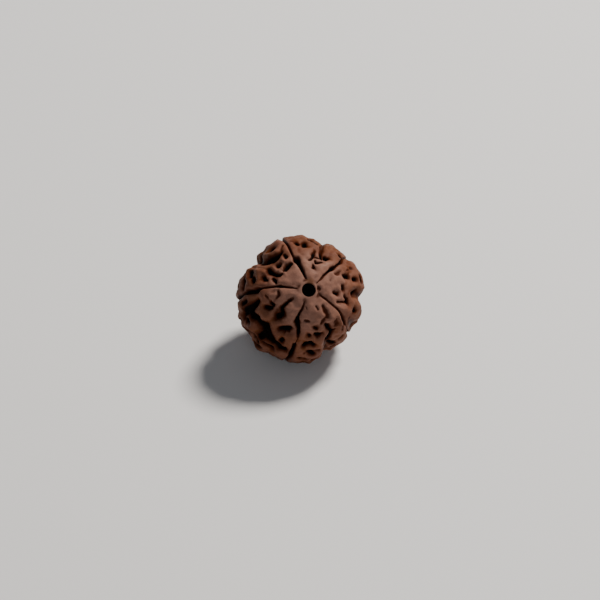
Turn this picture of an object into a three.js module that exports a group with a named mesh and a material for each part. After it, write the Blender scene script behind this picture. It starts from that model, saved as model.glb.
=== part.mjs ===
// A rudraksha seed: the ridged stone of an Elaeocarpus fruit, with five faces, bored through for a cord.
// It grew as one piece, so it is one solid. Five seams run from one mouth of the bore to the other and
// part the stone into five lobes. A furrow runs down the middle of each lobe, and pits and worm-like
// ridges cover everything but the smooth ground round the mouths.
//
// Millimetres, +Z up. The stone lies on its side, on a small flat spot, with the front mouth of its bore
// looking up and forward, towards -Y. The origin is the middle of the flat spot.
import * as THREE from "three";

// Driving sizes, in mm, and angles, in degrees.
const EQUATOR_RADIUS = 9.0; // half the width across the lobes
const POLE_RADIUS = 7.9; // half the height along the bore
const MEAN_RADIUS = 8.6; // turns an angle over the surface into a length
const BORE_RADIUS = 0.95;
const BORE_EDGE = 0.1; // how far the mouth's edge is rounded off
const BORE_SIDES = 24;
const BORE_ELEVATION = 46.4; // how steeply the front mouth looks up
const BORE_HEADING = 12.2; // how far it is turned from -Y towards +X
const CENTRE_HEIGHT = 8.3; // the stone's centre above the surface that it rests on
const FOOT_RADIUS = 8.46; // distance from the centre to the round swelling that the flat spot is worn on
const FOOT_INNER = 10.5; // the swelling is whole out to this angle
const FOOT_OUTER = 17; // and gone at this one
const FACET = 0.53; // side of a facet
const NARROWEST = 0.28; // no mark is cut narrower than this, so that the facets can hold it
const SOFTENING = 0.19; // a corner takes the mean height this far round it
const LEVEL = 1.5; // how many corners one ring may run ahead of its neighbour when they are stitched

// Depths, in mm. A mark that is narrower than its full half-width is less deep, and all are cut a little
// less deep than on the real stone, because these facets are too wide for its narrow clefts.
const SEAM_DEPTH = 0.85;
const SEAM_FULL = 0.2;
const SEAM_STEEPNESS = 4;
const SEAM_SHOULDER = 0.14; // how far the lobes round off towards a seam
const SEAM_REACH = 0.62; // and how far from it
const PIT_DEPTH = 0.65;
const PIT_FULL = 0.3;
const PIT_STEEPNESS = 3;
const PIT_SHOULDER = 0.3; // how far the ground rounds off towards a pit
const PIT_REACH = [0.4, 1.8]; // and how far from it: so many mm, and half-widths of the pit
const FURROW_DEPTH = 0.4;
const FURROW_FULL = 0.4;
const FURROW_REACH = 1.3; // half-widths
const MARK_REACH = 3; // a mark further away than this isn't felt
const BULGE = 0.22; // how much fuller the stone is than a spheroid, between the equator and the mouths
const SWELL = 0.08; // gentle unevenness of the whole surface
const SWELL_WAVES = [16, 2.4, 1.8]; // how many, the shortest one's length, and the spread of lengths
const WARP = 0.05; // how far the pits and furrows wander from their lines
const WARP_WAVES = [10, 1, 1];

// Polar angles from the nearer mouth, between which something comes in.
const RELIEF_STARTS = [7.2, 10.5]; // all relief: the rim round a mouth is smooth
const OUTLINE_STARTS = [34, 74]; // the outline's rises and dips
const SWELL_STARTS = [20, 38]; // the whole swell
const RIM_SWELL = 0.45; // share of the swell that the ground round a mouth has

// Marks are lines over the surface. Each point is [bearing, polar angle, half-width]: the bearing runs
// anticlockwise round the bore as seen from the front, from 0 at the right, the polar angle runs from 0
// at the front mouth to 180 at the back one, both in degrees, and the half-width is in mm.
const SEAMS = [
  // upper left
  [
    [103, 12, 0.07], [105, 16, 0.11], [106.5, 20, 0.17], [108, 25, 0.18], [109, 29, 0.22],
    [109.5, 33, 0.36], [110, 36, 0.38], [111.5, 38.5, 0.14], [112, 41, 0.09], [111.5, 46, 0.1],
    [111, 52, 0.1], [110.5, 57, 0.1], [110, 66, 0.1], [110, 78, 0.16], [109, 92, 0.2],
    [112, 110, 0.2], [115, 130, 0.2], [114, 150, 0.16], [112, 167, 0.08],
  ],
  // left
  [
    [174, 12, 0.05], [173, 18, 0.09], [172.5, 24, 0.11], [172, 29, 0.17], [173, 33, 0.12],
    [175, 40, 0.09], [176, 46, 0.09], [177, 49.5, 0.18], [178, 52, 0.32], [178.8, 57, 0.24],
    [178.5, 64, 0.24], [179, 71, 0.2], [180.5, 79, 0.22], [181, 92, 0.3], [184, 110, 0.22],
    [182, 130, 0.2], [180, 150, 0.16], [178, 167, 0.08],
  ],
  // lower left
  [
    [250, 13, 0.05], [251.5, 17, 0.08], [251.5, 20.5, 0.1], [249.5, 24, 0.12], [249, 28, 0.14],
    [249.5, 31, 0.22], [251, 34, 0.36], [253.5, 36.5, 0.27], [256.5, 39, 0.19], [258, 43, 0.19],
    [259, 47, 0.13], [259.5, 49.5, 0.03], [258.5, 54.5, 0.03], [258, 56.5, 0.2], [258, 62, 0.19],
    [258, 66, 0.22], [258, 71, 0.28], [258.3, 78, 0.2], [257, 92, 0.2], [254, 110, 0.2],
    [250, 130, 0.2], [248, 150, 0.16], [246, 167, 0.08],
  ],
  // lower right
  [
    [338, 12, 0.05], [336, 15, 0.08], [334.5, 19, 0.09], [332.7, 23, 0.08], [331.5, 28, 0.085],
    [330.5, 32, 0.085], [330, 36, 0.1], [328.5, 39.5, 0.13], [327, 43, 0.17], [325.7, 46.5, 0.24],
    [325, 50, 0.22], [324, 54, 0.2], [323.5, 57, 0.14], [323.5, 60, 0.05], [323, 70, 0.12],
    [324, 84, 0.22], [325, 100, 0.22], [322, 118, 0.2], [320, 136, 0.2], [322, 152, 0.16],
    [324, 167, 0.08],
  ],
  // upper right
  [
    [42, 11, 0.05], [42.5, 15, 0.08], [43.5, 18.5, 0.1], [45, 22, 0.1], [44.7, 26, 0.11],
    [44.5, 30, 0.13], [43.8, 33.5, 0.22], [43, 37, 0.2], [42.5, 40, 0.12], [42.5, 42, 0.13],
    [42.5, 45, 0.1], [42.3, 48, 0.15], [42.3, 51, 0.2], [42.8, 55, 0.16], [44, 58.5, 0.12],
    [44, 62, 0.08], [42, 70, 0.12], [40, 80, 0.2], [40, 92, 0.2], [42, 110, 0.2],
    [45, 130, 0.2], [44, 150, 0.16], [42, 167, 0.08],
  ],
];

// Deep marks on the front half, lobe by lobe.
const PITS = [
  // the top lobe
  [[91.8, 55.5, 0.23], [91.6, 51.5, 0.25]],
  [[100.5, 56.5, 0.15], [99.3, 54, 0.18]],
  [
    [79, 45.5, 0.09], [80.3, 42, 0.15], [80.7, 38.5, 0.2], [82, 35.5, 0.13], [85, 33, 0.11],
    [88, 31.7, 0.07],
  ],
  [[71, 55, 0.07], [70, 49, 0.12], [68.8, 44, 0.16], [67.8, 40, 0.16], [67, 37.5, 0.1]],
  [[79, 35.5, 0.09], [74.5, 36.5, 0.1], [70.5, 38, 0.09]],
  [[76.5, 32.5, 0.09], [73, 30.8, 0.12], [69, 31.5, 0.12], [65.5, 33.3, 0.09]],
  [[63, 43, 0.2], [60.8, 40.8, 0.25], [58.8, 43, 0.2]],
  [[79, 27.5, 0.11], [77.5, 24.8, 0.15]],
  [[48.5, 59, 0.12], [47.3, 58, 0.13]],
  // the upper left lobe
  [[126, 65.5, 0.22], [125.5, 63.5, 0.24]],
  [
    [122, 51, 0.2], [126, 50, 0.26], [130, 50, 0.34], [134, 50.5, 0.42], [136.5, 53.5, 0.3],
    [139, 57.5, 0.3], [141.5, 60, 0.36],
  ],
  [[135.5, 80, 0.2], [138.5, 79, 0.28], [141.5, 77.5, 0.3]],
  [[121.5, 46, 0.13], [121.5, 42, 0.17]],
  [[139, 42, 0.18], [136.5, 40.5, 0.2]],
  [[122.5, 33, 0.2], [129.5, 33, 0.25], [138, 32, 0.21], [141, 32.5, 0.11]],
  [
    [150, 47.5, 0.16], [152.8, 44.5, 0.26], [153.5, 40, 0.22], [153, 36, 0.24], [151, 33.5, 0.2],
    [147.5, 32, 0.11],
  ],
  [[161.5, 37.5, 0.16], [163.5, 35.5, 0.2], [165.5, 34.5, 0.14]],
  [[162, 47.5, 0.2], [163.5, 46.8, 0.24], [164.2, 43.5, 0.11]],
  [[157.5, 68, 0.22], [160, 65.5, 0.26], [162.5, 64, 0.22]],
  [[164.5, 59.5, 0.18], [166.8, 58, 0.2]],
  [[165, 74, 0.24], [168.5, 73, 0.36], [172, 74, 0.26]],
  // the lower left lobe
  [[198, 39.3, 0.14], [202.5, 38, 0.18]],
  [[201.5, 46, 0.2], [203, 43.5, 0.26], [204.5, 41, 0.2]],
  [
    [207.5, 20.3, 0.08], [209, 22, 0.13], [210, 24, 0.1], [211, 25.8, 0.14], [212, 28.5, 0.15],
    [213.5, 31.5, 0.2], [216.5, 33.3, 0.24], [220.5, 35, 0.28], [222.5, 37.5, 0.34], [222, 39.6, 0.4],
    [220.5, 41, 0.38],
  ],
  [[235, 48.5, 0.25], [239.5, 46.2, 0.33], [244, 43.8, 0.29], [246.5, 46, 0.11]],
  [[244, 56.8, 0.16], [243.3, 59.5, 0.18]],
  [[240.5, 65.8, 0.2], [243, 67, 0.34], [246, 68.3, 0.38], [250, 67.5, 0.3]],
  [
    [191, 53, 0.18], [192.5, 56.5, 0.26], [195, 62, 0.38], [196, 68, 0.42], [196.5, 74, 0.42],
    [198.5, 81, 0.4],
  ],
  [
    [195, 62, 0.38], [199, 64.5, 0.38], [202.5, 64.5, 0.38], [206.5, 60.5, 0.32], [208.5, 59.5, 0.27],
    [212, 60, 0.36], [216, 60.2, 0.52], [220, 60.2, 0.7], [225.5, 62, 0.64], [230, 64, 0.52],
    [234, 65.3, 0.44], [237.5, 66, 0.28],
  ],
  [[224, 73.5, 0.3], [224.5, 70, 0.38], [225, 66.5, 0.36]],
  [[188, 74, 0.16], [188, 69, 0.2]],
  [[204, 77.5, 0.24], [205.5, 73.5, 0.26]],
  [[231, 77, 0.34], [238, 76, 0.36]],
  // the bottom lobe
  [
    [300.5, 39.5, 0.13], [302, 41.5, 0.21], [303, 44.5, 0.2], [304.3, 48, 0.15], [303.5, 51.5, 0.21],
    [300, 54, 0.21], [297, 58, 0.22], [296.5, 61.5, 0.2],
  ],
  [[304, 50.5, 0.18], [307, 50.5, 0.13], [309, 50, 0.08]],
  [[298.5, 66.5, 0.18], [299.5, 69.5, 0.26], [302, 73.5, 0.26], [304.5, 75.5, 0.16]],
  [[294, 75, 0.16], [292, 77, 0.16]],
  [[282, 38.5, 0.12], [284, 40.3, 0.14]],
  [[281.3, 45.8, 0.15], [284.5, 47, 0.24], [287.5, 47, 0.18], [291, 46.8, 0.09]],
  [[273.5, 45, 0.13], [274.5, 46.2, 0.13]],
  [
    [268.7, 58.3, 0.2], [270.5, 57.2, 0.26], [273.5, 56.4, 0.24], [276, 55.7, 0.24],
    [278.8, 57, 0.18],
  ],
  [[275.3, 66.5, 0.2], [276.5, 68, 0.26], [278.5, 69.5, 0.2]],
  // the right lobe
  [[23, 42.5, 0.23], [23.3, 45, 0.27], [22.2, 49, 0.21]],
  [[17, 54, 0.17], [17, 57, 0.2]],
  [[19, 64.5, 0.17], [15, 65.5, 0.19]],
  [[9.5, 37.3, 0.17], [5.5, 37.3, 0.21]],
  [[357, 27.5, 0.13], [355.2, 30.5, 0.17]],
  [[0.5, 52, 0.16], [2, 53.5, 0.19], [4.8, 56.5, 0.13]],
  [[354, 40, 0.13], [351.5, 43.3, 0.16], [348, 43.7, 0.21], [345.5, 45.3, 0.11]],
  [[343, 33, 0.07], [344, 36.5, 0.1], [344.7, 39, 0.11], [345.5, 42, 0.09]],
  [[342.4, 56.5, 0.2], [341.8, 57.5, 0.2]],
  [[10, 8, 0.06], [13, 9.5, 0.07]],
];

// Soft, shallow furrows on the front half.
const FURROWS = [
  [[105.5, 60.5, 0.16], [103, 59, 0.16]],
  [[117, 57, 0.22], [120.5, 53, 0.22]],
  [[187, 42.5, 0.16], [190, 41.3, 0.2], [194.5, 40.7, 0.15], [199, 38.8, 0.18]],
  [
    [182, 30, 0.2], [186, 30, 0.22], [190, 30.2, 0.22], [193, 32.5, 0.2], [197, 34.5, 0.18],
    [200, 36.3, 0.16],
  ],
  [[214, 37, 0.42], [217, 38, 0.42]],
  [[219, 31, 0.3], [224, 32.8, 0.34], [227, 34.5, 0.3]],
  [[313, 21.5, 0.2], [312, 26, 0.26], [310, 30.5, 0.28], [307, 33.5, 0.28]],
  [[306, 33, 0.24], [301, 34.2, 0.28], [297, 35.3, 0.32], [293.5, 36.6, 0.28]],
  [[318.3, 40.5, 0.2], [315.3, 42.3, 0.36], [314.5, 45, 0.36], [311.5, 46, 0.26]],
  [[309.5, 70, 0.18], [312, 68.5, 0.22], [314.5, 67, 0.2]],
  [[264.5, 30.2, 0.16], [268, 30.6, 0.2], [271.5, 31.4, 0.15]],
  [[261, 17, 0.12], [263, 19, 0.12]],
  [[255, 26, 0.12], [256, 28.5, 0.12]],
  [[296, 18, 0.12], [296.5, 22, 0.14]],
  [[273.5, 65.5, 0.2], [277, 65, 0.22], [281, 65, 0.24], [285, 67, 0.24]],
  [[33, 34, 0.26], [32, 38, 0.3], [31.5, 41, 0.24]],
  [[30, 49.5, 0.16], [30, 52, 0.14]],
  [[30, 56, 0.16], [29.5, 58, 0.16]],
  [[319, 54.5, 0.24], [316.5, 57.5, 0.24]],
  [[270.3, 67.3, 0.16], [270.3, 68.8, 0.16]],
  [[269.5, 82, 0.24], [273.5, 83, 0.24]],
  [[84, 62, 0.3], [78, 58, 0.3]],
];

// The outline across the lobes: how far the surface stands out or in at the equator, by bearing.
// The deep dips are the furrows down the middle of the lobes.
const OUTLINE = [
  [0, -0.8], [10, 0.2], [20, 0.42], [32, 0.0], [41, -0.2], [50, -0.2], [60, -0.1], [65, -0.3],
  [70, -0.85], [76, -0.55], [82, -0.2], [91, 0.1], [101, 0.0], [112, -0.05], [122, -0.1],
  [133, -0.25], [142, -1.15], [150, -0.55], [156, -0.05], [166, 0.15], [180, -0.05], [190, 0.1],
  [204, 0.15], [211, 0.2], [219, -0.2], [228, 0.3], [242, 0.1], [257, 0.0], [267, 0.0],
  [278, 0.15], [287, -0.25], [295, -1.1], [303, -0.6], [313, -0.5], [322, -0.55], [331, -0.85],
  [340, -0.15], [349, -0.12],
];

// The back half has marks of the same kinds, laid by a rule with a seeded draw.
const HIDDEN_FIRST_ROW = 82;
const HIDDEN_LAST_ROW = 154;
const HIDDEN_ROW_STEP = 10.5;
const HIDDEN_SPACING = 1.75; // mm along a row
const HIDDEN_CLEAR = 1.15; // mm kept to the marks placed by hand and to the seams
const HIDDEN_SHIFT = 0.7; // share of the spacing that a mark strays along its row
const HIDDEN_STRAY = 0.6; // share of the row's step that it strays across it
const HIDDEN_REACH = [2, 5]; // half a mark's length, in degrees: the least, and the spread
const HIDDEN_WIDTH = [0.2, 0.2]; // half-width in mm: the least, and the spread
const HIDDEN_TAPER = 0.8; // share of the width that its ends have
const HIDDEN_BEND = 0.9; // how far its ends turn from a straight line, in radians
const SEED = 20711;

const radians = THREE.MathUtils.degToRad;
const smooth = THREE.MathUtils.smoothstep;

// The minimal standard generator: the same seed gives the same stone each time.
let state = SEED;
function random() {
  state = (state * 16807) % 2147483647;
  return state / 2147483647;
}

function direction(bearing, polar) {
  const [b, p] = [radians(bearing), radians(polar)];
  return new THREE.Vector3(Math.sin(p) * Math.cos(b), Math.sin(p) * Math.sin(b), Math.cos(p));
}

function bearingOf(n) {
  return (THREE.MathUtils.radToDeg(Math.atan2(n.y, n.x)) + 360) % 360;
}

function polarOf(n) {
  return THREE.MathUtils.radToDeg(Math.acos(THREE.MathUtils.clamp(n.z, -1, 1)));
}

// Turns rows of [bearing, polar, half-width] into points on the unit sphere with their half-widths.
function lineOf(mark) {
  return mark.map(([bearing, polar, width]) => ({ at: direction(bearing, polar), width }));
}

// How far a direction lies from a mark's line, in mm, and the mark's half-width there.
function nearest(n, line) {
  let best = { distance: Infinity };
  line.slice(1).forEach((b, i) => {
    const a = line[i];
    const along = b.at.clone().sub(a.at);
    const t = THREE.MathUtils.clamp(n.clone().sub(a.at).dot(along) / along.lengthSq(), 0, 1);
    const at = a.at.clone().addScaledVector(along, t).normalize();
    const distance = n.distanceTo(at) * MEAN_RADIUS;
    if (distance < best.distance) best = { distance, width: THREE.MathUtils.lerp(a.width, b.width, t) };
  });
  return best;
}

const seams = SEAMS.map(lineOf);
const pits = PITS.map(lineOf);
const furrows = FURROWS.map(lineOf);

// Where world directions lie in the stone's own frame, whose z axis is the bore, front mouth first.
const bore = new THREE.Vector3(
  Math.sin(radians(BORE_HEADING)) * Math.cos(radians(BORE_ELEVATION)),
  -Math.cos(radians(BORE_HEADING)) * Math.cos(radians(BORE_ELEVATION)),
  Math.sin(radians(BORE_ELEVATION)),
);
const sideways = new THREE.Vector3(1, 0, 0).addScaledVector(bore, -bore.x).normalize();
const upwards = bore.clone().cross(sideways);
const down = new THREE.Vector3(-sideways.z, -upwards.z, -bore.z);

function place(p) {
  return new THREE.Vector3(0, 0, CENTRE_HEIGHT)
    .addScaledVector(sideways, p.x)
    .addScaledVector(upwards, p.y)
    .addScaledVector(bore, p.z);
}

// Short, bent pits in rows over the back half, clear of the seams, the marks in front and the flat spot.
function hiddenMarks() {
  const kept = [];
  for (let polar = HIDDEN_FIRST_ROW; polar <= HIDDEN_LAST_ROW; polar += HIDDEN_ROW_STEP) {
    const count = Math.round((2 * Math.PI * MEAN_RADIUS * Math.sin(radians(polar))) / HIDDEN_SPACING);
    for (let i = 0; i < count; i++) {
      const bearing = ((i + 0.5 + HIDDEN_SHIFT * (random() - 0.5)) * 360) / count;
      const row = polar + HIDDEN_ROW_STEP * HIDDEN_STRAY * (random() - 0.5);
      const turn = 2 * Math.PI * random();
      const reach = HIDDEN_REACH[0] + HIDDEN_REACH[1] * random() * random();
      const width = HIDDEN_WIDTH[0] + HIDDEN_WIDTH[1] * random();
      const bend = HIDDEN_BEND * (random() - 0.5);
      const middle = direction(bearing, row);
      const near = [...seams, ...pits].some((line) => nearest(middle, line).distance < HIDDEN_CLEAR);
      const onFoot = middle.angleTo(down) < radians(FOOT_OUTER);
      if (near || onFoot) continue;
      const end = (way, angle) => [
        bearing + (way * reach * Math.cos(angle)) / Math.sin(radians(row)),
        row + way * reach * Math.sin(angle),
        width * HIDDEN_TAPER,
      ];
      kept.push(lineOf([end(-1, turn - bend), [bearing, row, width], end(1, turn + bend)]));
    }
  }
  return kept;
}
pits.push(...hiddenMarks());

// Waves in drawn directions, with lengths over the surface in mm.
function drawnWaves([count, shortest, spread]) {
  return Array.from({ length: count }, () => {
    const turn = 2 * Math.PI * random();
    const z = 2 * random() - 1;
    const flat = Math.sqrt(1 - z * z);
    const length = shortest + spread * random();
    const way = new THREE.Vector3(flat * Math.cos(turn), flat * Math.sin(turn), z);
    return { k: way.multiplyScalar((2 * Math.PI * MEAN_RADIUS) / length), phase: 2 * Math.PI * random() };
  });
}

// A gently uneven field over the surface, about -1 to 1.
function field(n, waves) {
  const sum = waves.reduce((total, wave) => total + Math.sin(wave.k.dot(n) + wave.phase), 0);
  return sum / Math.sqrt(waves.length / 2);
}

const swellWaves = drawnWaves(SWELL_WAVES);
const warpWaves = [drawnWaves(WARP_WAVES), drawnWaves(WARP_WAVES), drawnWaves(WARP_WAVES)];

// A direction shifted a little, so that no pit or furrow runs quite straight.
function warped(n) {
  const shift = new THREE.Vector3(...warpWaves.map((waves) => field(n, waves)));
  return shift.multiplyScalar(WARP / MEAN_RADIUS).add(n).normalize();
}

// The outline's rise or dip at a bearing, eased between its points.
function outlineAt(bearing) {
  const next = OUTLINE.findIndex(([b]) => b > bearing);
  const [b1, high] = next < 0 ? [360, OUTLINE[0][1]] : OUTLINE[next];
  const [b0, low] = OUTLINE[(next < 0 ? OUTLINE.length : next) - 1];
  return low + (high - low) * smooth(bearing, b0, b1);
}

// Depth across a mark, from its whole depth on its line to 0 away from it.
function across({ distance, width }, full, steepness) {
  return Math.min(1, width / full) / (1 + (distance / Math.max(width, NARROWEST)) ** steepness);
}

function shoulder(distance, reach) {
  return Math.exp(-((distance / reach) ** 2));
}

// Marks that cross don't add up: the deepest one wins, with an eased change from one to the other.
function deepest(depths) {
  return depths.reduce((sum, depth) => sum + depth ** 4, 0) ** 0.25;
}

function spheroid(polar) {
  return 1 / Math.hypot(Math.sin(polar) / EQUATOR_RADIUS, Math.cos(polar) / POLE_RADIUS);
}

function felt(n, lines) {
  return lines.map((line) => nearest(n, line)).filter(({ distance }) => distance < MARK_REACH);
}

// Distance from the centre to the surface in a direction of the stone's own frame.
function surfaceRadius(n) {
  const polar = polarOf(n);
  const fromMouth = Math.min(polar, 180 - polar);
  const shifted = warped(n);
  const [nearSeams, nearPits, nearFurrows] = [felt(n, seams), felt(shifted, pits), felt(shifted, furrows)];
  const cut = deepest([
    ...nearSeams.map((hit) => SEAM_DEPTH * across(hit, SEAM_FULL, SEAM_STEEPNESS)),
    ...nearPits.map((hit) => PIT_DEPTH * across(hit, PIT_FULL, PIT_STEEPNESS)),
  ]);
  const sunk = deepest([
    ...nearSeams.map(({ distance }) => SEAM_SHOULDER * shoulder(distance, SEAM_REACH)),
    ...nearPits.map(({ distance, width }) => {
      return PIT_SHOULDER * shoulder(distance, PIT_REACH[0] + PIT_REACH[1] * width);
    }),
    ...nearFurrows.map(({ distance, width }) => {
      return FURROW_DEPTH * Math.min(1, width / FURROW_FULL) * shoulder(distance, FURROW_REACH * width);
    }),
  ]);
  const swell = SWELL * (RIM_SWELL + (1 - RIM_SWELL) * smooth(fromMouth, ...SWELL_STARTS));
  const relief =
    outlineAt(bearingOf(n)) * smooth(fromMouth, ...OUTLINE_STARTS) +
    BULGE * Math.sin(2 * radians(polar)) ** 2 +
    swell * field(n, swellWaves) -
    cut -
    sunk;
  const radius = spheroid(radians(polar)) + relief * smooth(fromMouth, ...RELIEF_STARTS);
  const foot = 1 - smooth(THREE.MathUtils.radToDeg(n.angleTo(down)), FOOT_INNER, FOOT_OUTER);
  return radius + (FOOT_RADIUS - radius) * foot;
}

// The mean distance round a direction, so that marks finer than a facet are eased and not torn.
function softenedRadius(n) {
  const side = new THREE.Vector3(n.y, -n.x, 0).normalize();
  const other = n.clone().cross(side);
  const reach = SOFTENING / MEAN_RADIUS;
  const round = Array.from({ length: 6 }, (_, i) => {
    const turn = (i * Math.PI) / 3;
    const step = side.clone().multiplyScalar(reach * Math.cos(turn));
    return surfaceRadius(step.addScaledVector(other, reach * Math.sin(turn)).add(n).normalize());
  });
  return (surfaceRadius(n) + round.reduce((sum, radius) => sum + radius)) / 7;
}

// Where the seams cross the ring at a polar angle, in order round the bore. Past its ends a seam runs on
// at the bearing that it ends with.
function crossings(polar) {
  return SEAMS.map((mark) => {
    const next = mark.findIndex(([, p]) => p > polar);
    if (next < 1) return mark.at(next)[0];
    const [b0, p0] = mark[next - 1];
    const [b1, p1] = mark[next];
    return b0 + ((b1 - b0) * (polar - p0)) / (p1 - p0);
  });
}

// A ring's bearings, in one sector for each lobe. Each sector starts on a seam, so that seams stay crisp.
function sectors(starts, sides) {
  return starts.map((start, i) => {
    const span = (starts[(i + 1) % starts.length] - start + 360) % 360;
    const count = Math.max(1, Math.round((sides * span) / 360));
    return Array.from({ length: count }, (_, k) => start + (span * k) / count);
  });
}

// Rings of corners round the bore, from the front mouth to the back one.
function surfaceRings() {
  const mouthHeight = POLE_RADIUS * Math.sqrt(1 - (BORE_RADIUS / EQUATOR_RADIUS) ** 2);
  const mouth = Math.atan2(BORE_RADIUS + BORE_EDGE, mouthHeight);
  const rows = Math.round(((Math.PI - 2 * mouth) * MEAN_RADIUS) / (FACET * Math.sqrt(0.75)));
  return Array.from({ length: rows + 1 }, (_, row) => {
    const turn = mouth + ((Math.PI - 2 * mouth) * row) / rows;
    const polar = THREE.MathUtils.radToDeg(turn);
    const girth = 2 * Math.PI * spheroid(turn) * Math.sin(turn);
    const sides = row % rows === 0 ? BORE_SIDES : Math.max(BORE_SIDES, girth / FACET);
    return sectors(crossings(polar), sides).map((sector) =>
      sector.map((bearing) => {
        const n = direction(bearing, polar);
        return n.clone().multiplyScalar(softenedRadius(n));
      }),
    );
  });
}

// Rings down the wall of the bore, from the back mouth to the front one.
function boreRings(top) {
  const [front, back] = [crossings(0), crossings(180)];
  return [1, 2 / 3, 1 / 3, 0].map((share) => {
    const starts = front.map((bearing, i) => bearing + (back[i] - bearing) * share);
    return sectors(starts, BORE_SIDES).map((sector) =>
      sector.map((bearing) => {
        const flat = direction(bearing, 90).multiplyScalar(BORE_RADIUS);
        return flat.setZ(top * (1 - 2 * share));
      }),
    );
  });
}

// Joins neighbouring rings with triangles, lobe by lobe, by the shorter of the two diagonals at each step.
function stitch(above, below, startAbove, startBelow, triangles) {
  const [ringA, ringB] = [above.flat(), below.flat()];
  let [firstA, firstB] = [0, 0];
  above.forEach((sector, s) => {
    const [countA, countB] = [sector.length, below[s].length];
    let [i, j] = [0, 0];
    while (i < countA || j < countB) {
      const [a, nextA] = [firstA + i, firstA + i + 1].map((corner) => corner % ringA.length);
      const [b, nextB] = [firstB + j, firstB + j + 1].map((corner) => corner % ringB.length);
      const lead = (i + 1) / countA - (j + 1) / countB;
      const shorter = ringA[nextA].distanceTo(ringB[b]) < ringA[a].distanceTo(ringB[nextB]);
      const level = Math.abs(lead) * countB < LEVEL;
      if (j >= countB || (i < countA && (level ? shorter : lead < 0))) {
        triangles.push(startAbove + a, startBelow + b, startAbove + nextA);
        i += 1;
      } else {
        triangles.push(startAbove + a, startBelow + b, startBelow + nextB);
        j += 1;
      }
    }
    firstA += countA;
    firstB += countB;
  });
}

function seedGeometry() {
  const outside = surfaceRings();
  const rings = [...outside, ...boreRings(outside[0][0][0].z - BORE_EDGE)];
  const starts = [];
  rings.reduce((start, ring) => (starts.push(start), start + ring.flat().length), 0);
  const triangles = [];
  rings.forEach((ring, r) => {
    const next = (r + 1) % rings.length;
    stitch(ring, rings[next], starts[r], starts[next], triangles);
  });
  const corners = rings.flat(2).map(place);
  corners.forEach((corner) => {
    corner.z = Math.max(corner.z, 0);
  });
  const geometry = new THREE.BufferGeometry().setFromPoints(corners);
  geometry.setIndex(triangles);
  geometry.computeVertexNormals();
  return geometry;
}

const seed = new THREE.Mesh(
  seedGeometry(),
  new THREE.MeshStandardMaterial({ color: 0x8a5a42, roughness: 0.62, metalness: 0 }),
);
seed.name = "rudraksha_seed";

const stone = new THREE.Group();
stone.add(seed);
export default stone;
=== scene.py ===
"""The looks of a five-faced rudraksha seed, bored for a cord, that lies on its side.

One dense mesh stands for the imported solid. It follows the same formula and the same marks, cut to
their full depth, with fine grain and a rounded edge at each mouth of the bore. Lengths are in
millimetres until the mesh is made.
"""

import math

import bpy
import numpy as np
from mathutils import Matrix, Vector


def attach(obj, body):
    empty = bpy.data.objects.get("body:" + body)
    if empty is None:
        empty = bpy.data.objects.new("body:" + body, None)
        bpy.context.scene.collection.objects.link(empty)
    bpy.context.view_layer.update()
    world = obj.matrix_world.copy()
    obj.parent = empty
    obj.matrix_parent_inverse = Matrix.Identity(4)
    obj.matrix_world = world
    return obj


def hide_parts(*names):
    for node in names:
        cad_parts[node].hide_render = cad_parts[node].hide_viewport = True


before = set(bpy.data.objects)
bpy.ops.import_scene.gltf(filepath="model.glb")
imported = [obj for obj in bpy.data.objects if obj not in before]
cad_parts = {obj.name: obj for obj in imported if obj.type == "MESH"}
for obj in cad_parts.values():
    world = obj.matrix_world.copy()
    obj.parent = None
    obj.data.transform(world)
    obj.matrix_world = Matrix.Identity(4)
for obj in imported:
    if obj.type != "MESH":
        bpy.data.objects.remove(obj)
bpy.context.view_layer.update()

NODE = "rudraksha_seed"
MM = 0.001

# The stone's driving sizes, in mm and degrees, as in the solid.
EQUATOR_RADIUS = 9.0  # half the width across the lobes
POLE_RADIUS = 7.9  # half the height along the bore
MEAN_RADIUS = 8.6  # turns an angle over the surface into a length
BORE_RADIUS = 0.95
BORE_EDGE = 0.1  # how far the mouth's edge is rounded off
BORE_ELEVATION = 46.4  # how steeply the front mouth looks up
BORE_HEADING = 12.2  # how far it is turned from -Y towards +X
CENTRE_HEIGHT = 8.3  # the stone's centre above the surface that it rests on
FOOT_RADIUS = 8.46  # distance from the centre to the round swelling that the flat spot is worn on
FOOT_INNER = 10.5  # the swelling is whole out to this angle
FOOT_OUTER = 17.0  # and gone at this one

# Depths, in mm. A mark that is narrower than its full half-width is less deep.
SEAM_DEPTH = 1.05
SEAM_FULL = 0.2
SEAM_STEEPNESS = 4
SEAM_SHOULDER = 0.14  # how far the lobes round off towards a seam
SEAM_REACH = 0.62  # and how far from it
PIT_DEPTH = 0.95
PIT_FULL = 0.3
PIT_STEEPNESS = 3
PIT_SHOULDER = 0.3  # how far the ground rounds off towards a pit
PIT_REACH = (0.4, 1.8)  # and how far from it: so many mm, and half-widths of the pit
FURROW_DEPTH = 0.5
FURROW_FULL = 0.4
FURROW_REACH = 1.3  # half-widths
MARK_REACH = 3.0  # a mark further away than this isn't felt
CROSSING = 4  # depths are added as this power, so that of marks that cross, the deepest one wins
BULGE = 0.22  # how much fuller the stone is than a spheroid, between the equator and the mouths
SWELL = 0.08  # gentle unevenness of the whole surface
SWELL_WAVES = (16, 2.4, 1.8)  # how many, the shortest one's length, and the spread of lengths
WARP = 0.05  # how far the pits and furrows wander from their lines
WARP_WAVES = (10, 1.0, 1.0)

# Polar angles from the nearer mouth, between which something comes in.
RELIEF_STARTS = (7.2, 10.5)  # all relief: the rim round a mouth is smooth
OUTLINE_STARTS = (34, 74)  # the outline's rises and dips
SWELL_STARTS = (20, 38)  # the whole swell
RIM_SWELL = 0.45  # share of the swell that the ground round a mouth has

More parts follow.
